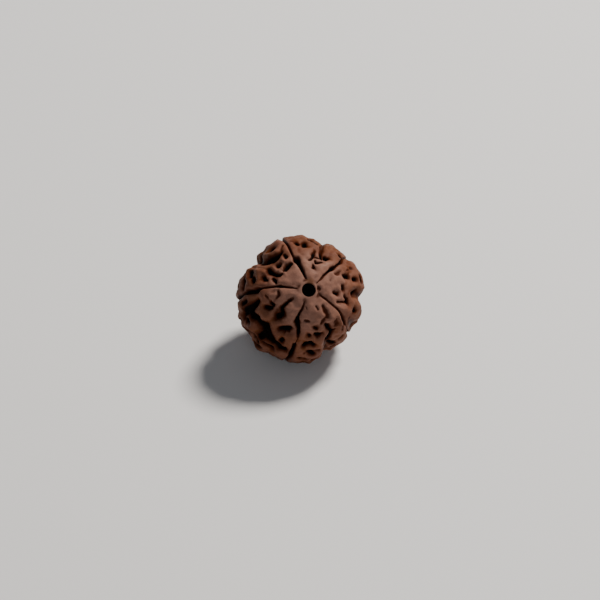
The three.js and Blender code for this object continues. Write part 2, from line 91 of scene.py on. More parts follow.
# Marks are lines over the surface. Each point is [bearing, polar angle, half-width in mm]: the bearing
# runs anticlockwise round the bore as seen from the front, and the polar angle from the front mouth.
SEAMS = [
    # upper left
    [
        [103, 12, 0.07], [105, 16, 0.11], [106.5, 20, 0.17], [108, 25, 0.18], [109, 29, 0.22],
        [109.5, 33, 0.36], [110, 36, 0.38], [111.5, 38.5, 0.14], [112, 41, 0.09], [111.5, 46, 0.1],
        [111, 52, 0.1], [110.5, 57, 0.1], [110, 66, 0.1], [110, 78, 0.16], [109, 92, 0.2],
        [112, 110, 0.2], [115, 130, 0.2], [114, 150, 0.16], [112, 167, 0.08],
    ],
    # left
    [
        [174, 12, 0.05], [173, 18, 0.09], [172.5, 24, 0.11], [172, 29, 0.17], [173, 33, 0.12],
        [175, 40, 0.09], [176, 46, 0.09], [177, 49.5, 0.18], [178, 52, 0.32], [178.8, 57, 0.24],
        [178.5, 64, 0.24], [179, 71, 0.2], [180.5, 79, 0.22], [181, 92, 0.3], [184, 110, 0.22],
        [182, 130, 0.2], [180, 150, 0.16], [178, 167, 0.08],
    ],
    # lower left
    [
        [250, 13, 0.05], [251.5, 17, 0.08], [251.5, 20.5, 0.1], [249.5, 24, 0.12], [249, 28, 0.14],
        [249.5, 31, 0.22], [251, 34, 0.36], [253.5, 36.5, 0.27], [256.5, 39, 0.19], [258, 43, 0.19],
        [259, 47, 0.13], [259.5, 49.5, 0.03], [258.5, 54.5, 0.03], [258, 56.5, 0.2], [258, 62, 0.19],
        [258, 66, 0.22], [258, 71, 0.28], [258.3, 78, 0.2], [257, 92, 0.2], [254, 110, 0.2],
        [250, 130, 0.2], [248, 150, 0.16], [246, 167, 0.08],
    ],
    # lower right
    [
        [338, 12, 0.05], [336, 15, 0.08], [334.5, 19, 0.09], [332.7, 23, 0.08], [331.5, 28, 0.085],
        [330.5, 32, 0.085], [330, 36, 0.1], [328.5, 39.5, 0.13], [327, 43, 0.17], [325.7, 46.5, 0.24],
        [325, 50, 0.22], [324, 54, 0.2], [323.5, 57, 0.14], [323.5, 60, 0.05], [323, 70, 0.12],
        [324, 84, 0.22], [325, 100, 0.22], [322, 118, 0.2], [320, 136, 0.2], [322, 152, 0.16],
        [324, 167, 0.08],
    ],
    # upper right
    [
        [42, 11, 0.05], [42.5, 15, 0.08], [43.5, 18.5, 0.1], [45, 22, 0.1], [44.7, 26, 0.11],
        [44.5, 30, 0.13], [43.8, 33.5, 0.22], [43, 37, 0.2], [42.5, 40, 0.12], [42.5, 42, 0.13],
        [42.5, 45, 0.1], [42.3, 48, 0.15], [42.3, 51, 0.2], [42.8, 55, 0.16], [44, 58.5, 0.12],
        [44, 62, 0.08], [42, 70, 0.12], [40, 80, 0.2], [40, 92, 0.2], [42, 110, 0.2],
        [45, 130, 0.2], [44, 150, 0.16], [42, 167, 0.08],
    ],
]

# Deep marks on the front half, lobe by lobe.
PITS = [
    # the top lobe
    [[91.8, 55.5, 0.23], [91.6, 51.5, 0.25]],
    [[100.5, 56.5, 0.15], [99.3, 54, 0.18]],
    [
        [79, 45.5, 0.09], [80.3, 42, 0.15], [80.7, 38.5, 0.2], [82, 35.5, 0.13], [85, 33, 0.11],
        [88, 31.7, 0.07],
    ],
    [[71, 55, 0.07], [70, 49, 0.12], [68.8, 44, 0.16], [67.8, 40, 0.16], [67, 37.5, 0.1]],
    [[79, 35.5, 0.09], [74.5, 36.5, 0.1], [70.5, 38, 0.09]],
    [[76.5, 32.5, 0.09], [73, 30.8, 0.12], [69, 31.5, 0.12], [65.5, 33.3, 0.09]],
    [[63, 43, 0.2], [60.8, 40.8, 0.25], [58.8, 43, 0.2]],
    [[79, 27.5, 0.11], [77.5, 24.8, 0.15]],
    [[48.5, 59, 0.12], [47.3, 58, 0.13]],
    # the upper left lobe
    [[126, 65.5, 0.22], [125.5, 63.5, 0.24]],
    [
        [122, 51, 0.2], [126, 50, 0.26], [130, 50, 0.34], [134, 50.5, 0.42], [136.5, 53.5, 0.3],
        [139, 57.5, 0.3], [141.5, 60, 0.36],
    ],
    [[135.5, 80, 0.2], [138.5, 79, 0.28], [141.5, 77.5, 0.3]],
    [[121.5, 46, 0.13], [121.5, 42, 0.17]],
    [[139, 42, 0.18], [136.5, 40.5, 0.2]],
    [[122.5, 33, 0.2], [129.5, 33, 0.25], [138, 32, 0.21], [141, 32.5, 0.11]],
    [
        [150, 47.5, 0.16], [152.8, 44.5, 0.26], [153.5, 40, 0.22], [153, 36, 0.24], [151, 33.5, 0.2],
        [147.5, 32, 0.11],
    ],
    [[161.5, 37.5, 0.16], [163.5, 35.5, 0.2], [165.5, 34.5, 0.14]],
    [[162, 47.5, 0.2], [163.5, 46.8, 0.24], [164.2, 43.5, 0.11]],
    [[157.5, 68, 0.22], [160, 65.5, 0.26], [162.5, 64, 0.22]],
    [[164.5, 59.5, 0.18], [166.8, 58, 0.2]],
    [[165, 74, 0.24], [168.5, 73, 0.36], [172, 74, 0.26]],
    # the lower left lobe
    [[198, 39.3, 0.14], [202.5, 38, 0.18]],
    [[201.5, 46, 0.2], [203, 43.5, 0.26], [204.5, 41, 0.2]],
    [
        [207.5, 20.3, 0.08], [209, 22, 0.13], [210, 24, 0.1], [211, 25.8, 0.14], [212, 28.5, 0.15],
        [213.5, 31.5, 0.2], [216.5, 33.3, 0.24], [220.5, 35, 0.28], [222.5, 37.5, 0.34],
        [222, 39.6, 0.4], [220.5, 41, 0.38],
    ],
    [[235, 48.5, 0.25], [239.5, 46.2, 0.33], [244, 43.8, 0.29], [246.5, 46, 0.11]],
    [[244, 56.8, 0.16], [243.3, 59.5, 0.18]],
    [[240.5, 65.8, 0.2], [243, 67, 0.34], [246, 68.3, 0.38], [250, 67.5, 0.3]],
    [
        [191, 53, 0.18], [192.5, 56.5, 0.26], [195, 62, 0.38], [196, 68, 0.42], [196.5, 74, 0.42],
        [198.5, 81, 0.4],
    ],
    [
        [195, 62, 0.38], [199, 64.5, 0.38], [202.5, 64.5, 0.38], [206.5, 60.5, 0.32],
        [208.5, 59.5, 0.27], [212, 60, 0.36], [216, 60.2, 0.52], [220, 60.2, 0.7], [225.5, 62, 0.64],
        [230, 64, 0.52], [234, 65.3, 0.44], [237.5, 66, 0.28],
    ],
    [[224, 73.5, 0.3], [224.5, 70, 0.38], [225, 66.5, 0.36]],
    [[188, 74, 0.16], [188, 69, 0.2]],
    [[204, 77.5, 0.24], [205.5, 73.5, 0.26]],
    [[231, 77, 0.34], [238, 76, 0.36]],
    # the bottom lobe
    [
        [300.5, 39.5, 0.13], [302, 41.5, 0.21], [303, 44.5, 0.2], [304.3, 48, 0.15], [303.5, 51.5, 0.21],
        [300, 54, 0.21], [297, 58, 0.22], [296.5, 61.5, 0.2],
    ],
    [[304, 50.5, 0.18], [307, 50.5, 0.13], [309, 50, 0.08]],
    [[298.5, 66.5, 0.18], [299.5, 69.5, 0.26], [302, 73.5, 0.26], [304.5, 75.5, 0.16]],
    [[294, 75, 0.16], [292, 77, 0.16]],
    [[282, 38.5, 0.12], [284, 40.3, 0.14]],
    [[281.3, 45.8, 0.15], [284.5, 47, 0.24], [287.5, 47, 0.18], [291, 46.8, 0.09]],
    [[273.5, 45, 0.13], [274.5, 46.2, 0.13]],
    [
        [268.7, 58.3, 0.2], [270.5, 57.2, 0.26], [273.5, 56.4, 0.24], [276, 55.7, 0.24],
        [278.8, 57, 0.18],
    ],
    [[275.3, 66.5, 0.2], [276.5, 68, 0.26], [278.5, 69.5, 0.2]],
    # the right lobe
    [[23, 42.5, 0.23], [23.3, 45, 0.27], [22.2, 49, 0.21]],
    [[17, 54, 0.17], [17, 57, 0.2]],
    [[19, 64.5, 0.17], [15, 65.5, 0.19]],
    [[9.5, 37.3, 0.17], [5.5, 37.3, 0.21]],
    [[357, 27.5, 0.13], [355.2, 30.5, 0.17]],
    [[0.5, 52, 0.16], [2, 53.5, 0.19], [4.8, 56.5, 0.13]],
    [[354, 40, 0.13], [351.5, 43.3, 0.16], [348, 43.7, 0.21], [345.5, 45.3, 0.11]],
    [[343, 33, 0.07], [344, 36.5, 0.1], [344.7, 39, 0.11], [345.5, 42, 0.09]],
    [[342.4, 56.5, 0.2], [341.8, 57.5, 0.2]],
    [[10, 8, 0.06], [13, 9.5, 0.07]],
]

# Soft, shallow furrows on the front half.
FURROWS = [
    [[105.5, 60.5, 0.16], [103, 59, 0.16]],
    [[117, 57, 0.22], [120.5, 53, 0.22]],
    [[187, 42.5, 0.16], [190, 41.3, 0.2], [194.5, 40.7, 0.15], [199, 38.8, 0.18]],
    [
        [182, 30, 0.2], [186, 30, 0.22], [190, 30.2, 0.22], [193, 32.5, 0.2], [197, 34.5, 0.18],
        [200, 36.3, 0.16],
    ],
    [[214, 37, 0.42], [217, 38, 0.42]],
    [[219, 31, 0.3], [224, 32.8, 0.34], [227, 34.5, 0.3]],
    [[313, 21.5, 0.2], [312, 26, 0.26], [310, 30.5, 0.28], [307, 33.5, 0.28]],
    [[306, 33, 0.24], [301, 34.2, 0.28], [297, 35.3, 0.32], [293.5, 36.6, 0.28]],
    [[318.3, 40.5, 0.2], [315.3, 42.3, 0.36], [314.5, 45, 0.36], [311.5, 46, 0.26]],
    [[309.5, 70, 0.18], [312, 68.5, 0.22], [314.5, 67, 0.2]],
    [[264.5, 30.2, 0.16], [268, 30.6, 0.2], [271.5, 31.4, 0.15]],
    [[261, 17, 0.12], [263, 19, 0.12]],
    [[255, 26, 0.12], [256, 28.5, 0.12]],
    [[296, 18, 0.12], [296.5, 22, 0.14]],
    [[273.5, 65.5, 0.2], [277, 65, 0.22], [281, 65, 0.24], [285, 67, 0.24]],
    [[33, 34, 0.26], [32, 38, 0.3], [31.5, 41, 0.24]],
    [[30, 49.5, 0.16], [30, 52, 0.14]],
    [[30, 56, 0.16], [29.5, 58, 0.16]],
    [[319, 54.5, 0.24], [316.5, 57.5, 0.24]],
    [[270.3, 67.3, 0.16], [270.3, 68.8, 0.16]],
    [[269.5, 82, 0.24], [273.5, 83, 0.24]],
    [[84, 62, 0.3], [78, 58, 0.3]],
]

# The outline across the lobes: how far the surface stands out or in at the equator, by bearing.
OUTLINE = [
    [0, -0.8], [10, 0.2], [20, 0.42], [32, 0.0], [41, -0.2], [50, -0.2], [60, -0.1], [65, -0.3],
    [70, -0.85], [76, -0.55], [82, -0.2], [91, 0.1], [101, 0.0], [112, -0.05], [122, -0.1],
    [133, -0.25], [142, -1.15], [150, -0.55], [156, -0.05], [166, 0.15], [180, -0.05], [190, 0.1],
    [204, 0.15], [211, 0.2], [219, -0.2], [228, 0.3], [242, 0.1], [257, 0.0], [267, 0.0],
    [278, 0.15], [287, -0.25], [295, -1.1], [303, -0.6], [313, -0.5], [322, -0.55], [331, -0.85],
    [340, -0.15], [349, -0.12],
]

# Short, bent pits cover the back half in rows, by a rule with a seeded draw. A row is a polar angle.
HIDDEN_FIRST_ROW = 82
HIDDEN_LAST_ROW = 154
HIDDEN_ROW_STEP = 10.5
HIDDEN_SPACING = 1.75  # mm along a row
HIDDEN_CLEAR = 1.15  # mm kept to the listed marks and to the seams
HIDDEN_SHIFT = 0.7  # share of the spacing that a mark strays along its row
HIDDEN_STRAY = 0.6  # share of the row's step that it strays across it
HIDDEN_REACH = (2, 5)  # half a mark's length, in degrees: the least, and the spread
HIDDEN_WIDTH = (0.2, 0.2)  # half-width in mm: the least, and the spread
HIDDEN_TAPER = 0.8  # share of the width that its ends have
HIDDEN_BEND = 0.9  # how far its ends turn from a straight line, in radians
SEED = 20711
MULTIPLIER = 16807
MODULUS = 2147483647

# The mesh and its finest relief, in mm.
FACET = 0.107
BORE_RING_STEP = 0.45
EDGE_RINGS = 5
GRAIN = 0.024
GRAIN_WAVES = (40, 0.7, 1.0)

# Where the stone is coloured how, and where shade is painted on it, in mm and polar angles.
# The seams and pits take painted shade, umber to near black, by their mark share, and the furrows take
# dark brown painted shade by theirs.
DARK_WIDTH = 0.18  # a seam or pit of this half-width or more is fully dark
FURROW_DARK = 0.26  # and so is a furrow of this one
# Front pits seen at a slant take painted shade past their edge, over walls that face the light.
DARK_MARGIN = (0.03, 0.1)  # how far past its half-width a front pit is dark, and how much more outwards
DARK_STARTS = (48, 66)  # where the second part of that margin comes in
DARK_STOPS = (73, 83)  # and where the whole margin ends
# The bore's wall takes painted shade, darker with depth below the mouth's edge.
BORE_DARKENS = (0.1, 0.75)  # depths below the mouth's edge
OUTWARD_STARTS = (22, 62)  # where the ground turns from that of the rim to that of the sides
STAIN_PLACE = (80, 8.3)  # its bearing and polar angle
STAIN_REACH = (0.25, 0.95)  # it is whole out to the first distance and gone at the second
# The hollow that these give paints shade in the dips and highlight on the crests.
HOLLOW_SCALES = ((25, 3.0), (160, 1.2))  # steps along edges to the surroundings, and their weight

# The camera: where it stands, and what it frames, in mm and degrees.
CAMERA_ELEVATION = 38.0
CAMERA_DISTANCE = 350.0
FRAME_WIDTH = 83.7
SENSOR_WIDTH = 36.0
AIM_RIGHT = -0.06
AIM_UP = -0.15
CLIP_START = 10.0
CLIP_END = 20000.0

# The floor and the lights, in metres and watts.
FLOOR_HALF = 3.0
FLOOR_DROP = 0.00002  # it lies this much under the flat spot, so that the two faces don't share a plane
FLOOR_COLOUR = (0.74, 0.74, 0.75)
FLOOR_ROUGHNESS = 0.7
KEY_LIGHT = {"place": (0.32, 0.3, 0.56), "size": 0.18, "power": 8.4, "colour": (1.0, 0.95, 0.88)}
FILL_LIGHT = {"place": (0.1, -0.8, 0.5), "size": 0.5, "power": 1.4, "colour": (0.95, 0.97, 1.0)}
WORLD_COLOUR = (0.85, 0.88, 0.92)
WORLD_STRENGTH = 0.13

# Colours of the stone, in linear light.
# Paler on the crests: partly wear, partly a painted highlight.
CREST_WEAR_AND_HIGHLIGHT = (0.26, 0.127, 0.09)
ROSE = (0.23, 0.117, 0.087)
PINK_TAN = (0.17, 0.063, 0.036)
REDDISH = (0.088, 0.023, 0.011)
ORANGE = (0.128, 0.038, 0.0105)
# Painted shade, umber, in the seams, the pits and the bore.
UMBER_SHADE = (0.055, 0.0105, 0.0024)
# Painted shade, dark brown, in the furrows.
FURROW_SHADE_COLOUR = (0.046, 0.0085, 0.0016)
# Painted shade in the dips of the ground, and also a speckle of random tone.
DUSKY_SPECKLE_AND_SHADE = (0.04, 0.009, 0.003)
# Painted shade, near black, deep in the seams, the pits and the bore.
CREVICE_SHADE = (0.003, 0.001, 0.0007)
STAIN = (0.1, 0.036, 0.012)

# Noise: the size of its features in mm, detail, roughness and distortion.
BROAD_NOISE = (3.2, 3.0)
MEDIUM_NOISE = (0.9, 5.0)
FINE_NOISE = (0.16, 6.0, 0.6)
ORANGE_NOISE = (2.2, 4.0, 0.5, 0.6)
GRAIN_NOISE = (0.4, 4.0)

# Spans: where a change starts and ends, and the shares there if they aren't 0 and 1.
TAN_SPAN = (0.36, 0.64)
ROSE_SPAN = (0.05, 0.6, 1.0, 0.0)
ROSE_PATCHES = (0.3, 0.6, 0.7, 1.0)
ORANGE_PATCHES = (0.4, 0.6)
# Where the crests take their wear and painted highlight: by how raised the ground is, then by the angle
# from the mouth.
CREST_SPAN = (0.28, 0.48, 0.8, 0.0)
CREST_OUTWARD = (0.1, 0.8, 1.0, 0.32)
# Where the dips take painted shade.
DIP_SHADE_SPAN = (0.5, 0.74, 0.0, 0.9)
SPECKLE_SPAN = (0.35, 0.7, 0.0, 0.2)
# Where the furrows' painted shade is patchy.
FURROW_SHADE_PATCHES = (0.35, 0.6, 0.7, 0.95)
# Where the seams, pits and bore take painted shade: umber, then near black.
UMBER_SHADE_SPAN = (0.03, 0.3, 0.0, 0.92)
CREVICE_SHADE_SPAN = (0.28, 0.66)
POLISH_SPAN = (0.3, 0.7, 0.45, 0.65)
DULL_SPAN = (0.2, 0.5)

# Shares and strengths in the stone's material.
ORANGE_SHARE = 0.8
STAIN_SHARE = 0.7
GROUND_UNEVEN = 0.25
MARKS_UNEVEN = 0.3
FURROW_POWER = 1.5
DULL_SHARE = 0.45
GRAIN_SHARE = 0.8
SPECULAR_LEVEL = 0.05
BUMP_STRENGTH = 0.35
BUMP_DEPTH = 0.03  # mm


def smooth(value, low, high):
    t = np.clip((value - low) / (high - low), 0, 1)
    return t * t * (3 - 2 * t)


class Draw:
    """The minimal standard generator, so that the same seed gives the same stone each time."""

    def __init__(self, seed):
        self.state = seed

    def __call__(self):
        self.state = self.state * MULTIPLIER % MODULUS
        return self.state / MODULUS


draw = Draw(SEED)


def direction(bearing, polar):
    b, p = np.broadcast_arrays(np.radians(bearing), np.radians(polar))
    return np.stack([np.sin(p) * np.cos(b), np.sin(p) * np.sin(b), np.cos(p)], axis=-1)


def line_of(mark):
    return [(direction(bearing, polar), width) for bearing, polar, width in mark]


def nearest(n, line):
    """How far directions n lie from a mark's line, in mm, and the mark's half-width there."""
    distance = np.full(len(n), np.inf)
    width = np.zeros(len(n))
    for (a, width_a), (b, width_b) in zip(line, line[1:]):
        along = b - a
        t = np.clip((n - a) @ along / (along @ along), 0, 1)
        at = a + t[:, None] * along
        at /= np.linalg.norm(at, axis=1, keepdims=True)
        gap = np.linalg.norm(n - at, axis=1) * MEAN_RADIUS
        width = np.where(gap < distance, width_a + (width_b - width_a) * t, width)
        distance = np.minimum(gap, distance)
    return distance, width


def near_marks(n, lines):
    """Runs over the marks, with the directions that feel each one."""
    for line in lines:
        points = np.array([at for at, _ in line])
        middle = points.mean(0) / np.linalg.norm(points.mean(0))
        spread = np.arccos(np.clip((points @ middle).min(), -1, 1)) + MARK_REACH / MEAN_RADIUS
        chosen = np.flatnonzero(n @ middle > math.cos(min(spread, math.pi)))
        if len(chosen):
            yield chosen, *nearest(n[chosen], line)


# The stone's own frame: its z axis is the bore, front mouth first, and x looks right.
lift, heading = math.radians(BORE_ELEVATION), math.radians(BORE_HEADING)
bore = np.array([
    math.sin(heading) * math.cos(lift),
    -math.cos(heading) * math.cos(lift),
    math.sin(lift),
])
sideways = np.array([1.0, 0.0, 0.0]) - bore * bore[0]
sideways /= np.linalg.norm(sideways)
upwards = np.cross(bore, sideways)
own_axes = np.array([sideways, upwards, bore])
down = own_axes @ np.array([0.0, 0.0, -1.0])


def angle_to_down(n):
    return np.degrees(np.arccos(np.clip(n @ down, -1, 1)))


seams = [line_of(mark) for mark in SEAMS]
pits = [line_of(mark) for mark in PITS]
furrows = [line_of(mark) for mark in FURROWS]


def hidden_marks():
    """Short, bent pits in rows over the back half, clear of the seams and the flat spot."""
    kept = []
    polar = HIDDEN_FIRST_ROW
    while polar <= HIDDEN_LAST_ROW:
        girth = 2 * math.pi * MEAN_RADIUS * math.sin(math.radians(polar))
        count = round(girth / HIDDEN_SPACING)
        for i in range(count):
            bearing = (i + 0.5 + HIDDEN_SHIFT * (draw() - 0.5)) * 360 / count
            row = polar + HIDDEN_ROW_STEP * HIDDEN_STRAY * (draw() - 0.5)
            turn = 2 * math.pi * draw()
            reach = HIDDEN_REACH[0] + HIDDEN_REACH[1] * draw() * draw()
            width = HIDDEN_WIDTH[0] + HIDDEN_WIDTH[1] * draw()
            bend = HIDDEN_BEND * (draw() - 0.5)
            middle = direction(bearing, row)[None]
            crowded = any(nearest(middle, line)[0][0] < HIDDEN_CLEAR for line in seams + pits)
            if crowded or angle_to_down(middle)[0] < FOOT_OUTER:
                continue
            ends = []
            for way, angle in ((-1, turn - bend), (1, turn + bend)):
                ends.append([
                    bearing + way * reach * math.cos(angle) / math.sin(math.radians(row)),
                    row + way * reach * math.sin(angle),
                    width * HIDDEN_TAPER,
                ])
            kept.append(line_of([ends[0], [bearing, row, width], ends[1]]))
        polar += HIDDEN_ROW_STEP
    return kept


pits += hidden_marks()


def drawn_waves(count, shortest, spread):
    """Waves in drawn directions, whose lengths over the surface start at the shortest, in mm."""
    waves = []
    for _ in range(count):
        turn = 2 * math.pi * draw()
        z = 2 * draw() - 1
        flat = math.sqrt(1 - z * z)
        length = shortest + spread * draw()
        way = np.array([flat * math.cos(turn), flat * math.sin(turn), z])
        waves.append((way * 2 * math.pi * MEAN_RADIUS / length, 2 * math.pi * draw()))
    return waves


def field(n, waves):
    return sum(np.sin(n @ k + phase) for k, phase in waves) / math.sqrt(len(waves) / 2)


swell_waves = drawn_waves(*SWELL_WAVES)
warp_waves = [drawn_waves(*WARP_WAVES) for _ in range(3)]
grain_waves = drawn_waves(*GRAIN_WAVES)


def warped(n):
    """Directions shifted a little, so that no mark runs straight or keeps its width."""
    shift = np.stack([field(n, waves) for waves in warp_waves], axis=-1) * WARP / MEAN_RADIUS
    moved = n + shift
    return moved / np.linalg.norm(moved, axis=1, keepdims=True)


def outline_at(bearing):
    """The outline's rise or dip at a bearing, eased between its points."""
    stops = [*OUTLINE, [360, OUTLINE[0][1]]]
    rise = np.zeros(len(bearing))
    for (b0, low), (b1, high) in zip(stops, stops[1:]):
        inside = (bearing >= b0) & (bearing < b1)
        rise[inside] = low + (high - low) * smooth(bearing[inside], b0, b1)
    return rise


def spheroid(polar):
    return 1 / np.hypot(np.sin(polar) / EQUATOR_RADIUS, np.cos(polar) / POLE_RADIUS)


def across(distance, width, steepness):
    return 1 / (1 + (distance / width) ** steepness)


def shoulder(distance, reach):
    return np.exp(-((distance / reach) ** 2))


def surface(n):
    """The surface's distance from the centre in directions n, in mm, and two shares from 0 to 1.

    They say how far a place lies in a seam or pit, and how far in a furrow; the material paints shade by
    them, and a front pit's shade reaches past its edge.
    """
    cut, sunk, mark, furrow = np.zeros((4, len(n)))
    shifted = warped(n)
    polar = np.degrees(np.arccos(np.clip(n[:, 2], -1, 1)))
    from_mouth = np.minimum(polar, 180 - polar)
    # Painted shade reaches past the edge of the front pits seen at a slant.
    margin = DARK_MARGIN[0] + DARK_MARGIN[1] * smooth(polar, *DARK_STARTS)
    margin *= 1 - smooth(polar, *DARK_STOPS)
    # The mark share paints shade in the seams and pits.
    for chosen, distance, width in near_marks(n, seams):
        profile = across(distance, width, SEAM_STEEPNESS)
        cut[chosen] += (SEAM_DEPTH * np.minimum(1, width / SEAM_FULL) * profile) ** CROSSING
        sunk[chosen] += (SEAM_SHOULDER * shoulder(distance, SEAM_REACH)) ** CROSSING
        mark[chosen] = np.maximum(mark[chosen], profile * np.minimum(1, width / DARK_WIDTH))
    for chosen, distance, width in near_marks(shifted, pits):
        profile = across(distance, width, PIT_STEEPNESS)
        cut[chosen] += (PIT_DEPTH * np.minimum(1, width / PIT_FULL) * profile) ** CROSSING
        reach = PIT_REACH[0] + PIT_REACH[1] * width
        sunk[chosen] += (PIT_SHOULDER * shoulder(distance, reach)) ** CROSSING
        pit_shade = across(distance, width + margin[chosen], PIT_STEEPNESS)
        mark[chosen] = np.maximum(mark[chosen], pit_shade * np.minimum(1, width / DARK_WIDTH))
    for chosen, distance, width in near_marks(shifted, furrows):
        profile = shoulder(distance, FURROW_REACH * width)
        sunk[chosen] += (FURROW_DEPTH * np.minimum(1, width / FURROW_FULL) * profile) ** CROSSING
        furrow[chosen] = np.maximum(furrow[chosen], profile * np.minimum(1, width / FURROW_DARK))
    bearing = np.degrees(np.arctan2(n[:, 1], n[:, 0])) % 360
    swell = SWELL * (RIM_SWELL + (1 - RIM_SWELL) * smooth(from_mouth, *SWELL_STARTS))
    relief = (
        outline_at(bearing) * smooth(from_mouth, *OUTLINE_STARTS)
        + BULGE * np.sin(2 * np.radians(polar)) ** 2
        + swell * field(n, swell_waves)
        + GRAIN * field(n, grain_waves)
        - cut ** (1 / CROSSING)
        - sunk ** (1 / CROSSING)
    )
    open_ground = smooth(from_mouth, *RELIEF_STARTS)
    radius = spheroid(np.radians(polar)) + relief * open_ground
    foot = 1 - smooth(angle_to_down(n), FOOT_INNER, FOOT_OUTER)
    shown = open_ground * (1 - foot)
    return radius + (FOOT_RADIUS - radius) * foot, mark * shown, furrow * shown


def crossings(polar):
    """Where the seams cross the ring at a polar angle, in order round the bore."""
    bearings = []
    for mark in SEAMS:
        bearings_along, polars_along, _ = zip(*mark)
        bearings.append(np.interp(polar, polars_along, bearings_along))
    return np.array(bearings)


def sectors(starts, sides):
    """A ring's bearings, in one sector for each lobe. Each sector starts on a seam."""
    spans = (np.roll(starts, -1) - starts) % 360
    counts = np.maximum(1, np.round(sides * spans / 360)).astype(int)
    return [
        start + span * np.arange(count) / count
        for start, span, count in zip(starts, spans, counts)
    ]


def surface_rings():
    """Rings of directions round the bore, from the front mouth to the back one."""
    mouth_height = POLE_RADIUS * math.sqrt(1 - (BORE_RADIUS / EQUATOR_RADIUS) ** 2)
    mouth = math.atan2(BORE_RADIUS + BORE_EDGE, mouth_height)
    rows = round((math.pi - 2 * mouth) * MEAN_RADIUS / (FACET * math.sqrt(0.75)))
    rings = []
    for row in range(rows + 1):
        turn = mouth + (math.pi - 2 * mouth) * row / rows
        polar = math.degrees(turn)
        girth = 2 * math.pi * float(spheroid(turn)) * math.sin(turn)
        bearings = sectors(crossings(polar), girth / FACET)
        rings.append([direction(sector, polar) for sector in bearings])
    return rings


def bore_rings(top):
    """Rings down the wall of the bore, with a rounded edge at each mouth. top is the edge's height."""
    places = []
    for i in range(1, EDGE_RINGS + 1):
        bend = math.pi / 2 * i / EDGE_RINGS
        radius = BORE_RADIUS + BORE_EDGE * (1 - math.sin(bend))
        places.append((radius, top - BORE_EDGE * (1 - math.cos(bend))))
    steps = round(2 * top / BORE_RING_STEP)
    wall = np.linspace(top - BORE_EDGE, -top + BORE_EDGE, steps + 1)[1:-1]
    half = [*places, *((BORE_RADIUS, height) for height in wall)]
    front, back = crossings(0), crossings(180)
    sides = 2 * math.pi * BORE_RADIUS / FACET
    rings = []
    for radius, height in [*half, *((radius, -height) for radius, height in reversed(places))]:
        starts = front + (back - front) * (top - height) / (2 * top)
        flat = [direction(sector, 90) for sector in sectors(starts, sides)]
        rings.append([sector * radius + np.array([0, 0, height]) for sector in flat])
    return rings


def stitch(above, below, start_above, start_below):
    """Triangles between two rings, lobe by lobe, taking the step that keeps the two sides level."""
    triangles = []
    all_above, all_below = sum(above), sum(below)
    first_above = first_below = 0
    for count_above, count_below in zip(above, below):
        i = j = 0
        while i < count_above or j < count_below:
            a = start_above + (first_above + i) % all_above
            b = start_below + (first_below + j) % all_below
            if j >= count_below or (i < count_above and (i + 1) * count_below <= (j + 1) * count_above):
                i += 1
                triangles.append((a, b, start_above + (first_above + i) % all_above))
            else:
                j += 1
                triangles.append((a, b, start_below + (first_below + j) % all_below))
        first_above += count_above
        first_below += count_below
    return triangles


def surroundings(values, edges, rounds):
    """The mean of the values round each corner, over as many steps along edges as rounds."""
    count = len(values)
    links = np.bincount(edges.ravel(), minlength=count)
    for _ in range(rounds):
        total = np.bincount(edges[:, 0], values[edges[:, 1]], count)
        total += np.bincount(edges[:, 1], values[edges[:, 0]], count)
        values = 0.5 * values + 0.5 * total / links
    return values


def write_values(mesh, name, values):
    attribute = mesh.attributes.new(name, "FLOAT", "POINT")
    attribute.data.foreach_set("value", np.asarray(values, np.float32))


def write_shades(mesh, own, top, mark, furrow):
    """Writes the values that the material reads at each corner. The bore's corners come last in own."""
    edges = np.zeros(len(mesh.edges) * 2, np.int32)
    mesh.edges.foreach_get("vertices", edges)
    edges = edges.reshape(-1, 2)
    reach = np.linalg.norm(own, axis=1)
    inside = np.arange(len(own)) >= len(mark)
    height = np.where(inside, POLE_RADIUS, reach)
    # How much lower each corner lies than its surroundings: the material paints shade in the dips and
    # highlight on the crests by it.
    hollow = np.zeros(len(own))
    for rounds, weight in HOLLOW_SCALES:
        hollow += weight * (surroundings(height, edges, rounds) - height)
    write_values(mesh, "hollow", np.clip(0.5 + hollow, 0, 1))

    within = (0, len(own) - len(mark))
    # Painted shade down the bore's wall, through the mark share.
    bore_shade = smooth(top - np.abs(own[:, 2]), *BORE_DARKENS)
    write_values(mesh, "mark", np.where(inside, bore_shade, np.pad(mark, within)))
    write_values(mesh, "furrow", np.pad(furrow, within))

    polar = np.degrees(np.arccos(np.clip(own[:, 2] / reach, -1, 1)))
    from_mouth = np.minimum(polar, 180 - polar)
    write_values(mesh, "outward", smooth(from_mouth, *OUTWARD_STARTS))
    toward = np.clip(own @ direction(*STAIN_PLACE) / reach, -1, 1)
    write_values(mesh, "stain", 1 - smooth(np.arccos(toward) * MEAN_RADIUS, *STAIN_REACH))


def stone_mesh():
    """One closed mesh: the outside from mouth to mouth, and the wall of the bore."""
    outside = surface_rings()
    n = np.concatenate([sector for ring in outside for sector in ring])
    radius, mark, furrow = surface(n)
    skin = n * radius[:, None]
    top = float(skin[: len(outside[0][0]), 2].mean())
    wall = bore_rings(top)[::-1]
    rings = [[len(sector) for sector in ring] for ring in [*outside, *wall]]
    starts = np.concatenate([[0], np.cumsum([sum(ring) for ring in rings])]).tolist()
    triangles = []
    for r, ring in enumerate(rings):
        after = (r + 1) % len(rings)
        triangles += stitch(ring, rings[after], starts[r], starts[after])
    own = np.concatenate([skin, *(sector for ring in wall for sector in ring)])
    corners = own @ own_axes + np.array([0, 0, CENTRE_HEIGHT])
    corners[:, 2] = np.maximum(corners[:, 2], 0)

    mesh = bpy.data.meshes.new("rudraksha_stone")
    mesh.from_pydata((corners * MM).tolist(), [], triangles)
    mesh.polygons.foreach_set("use_smooth", [True] * len(mesh.polygons))
    mesh.validate()
    mesh.update()
    write_shades(mesh, own, top, mark, furrow)
    return mesh


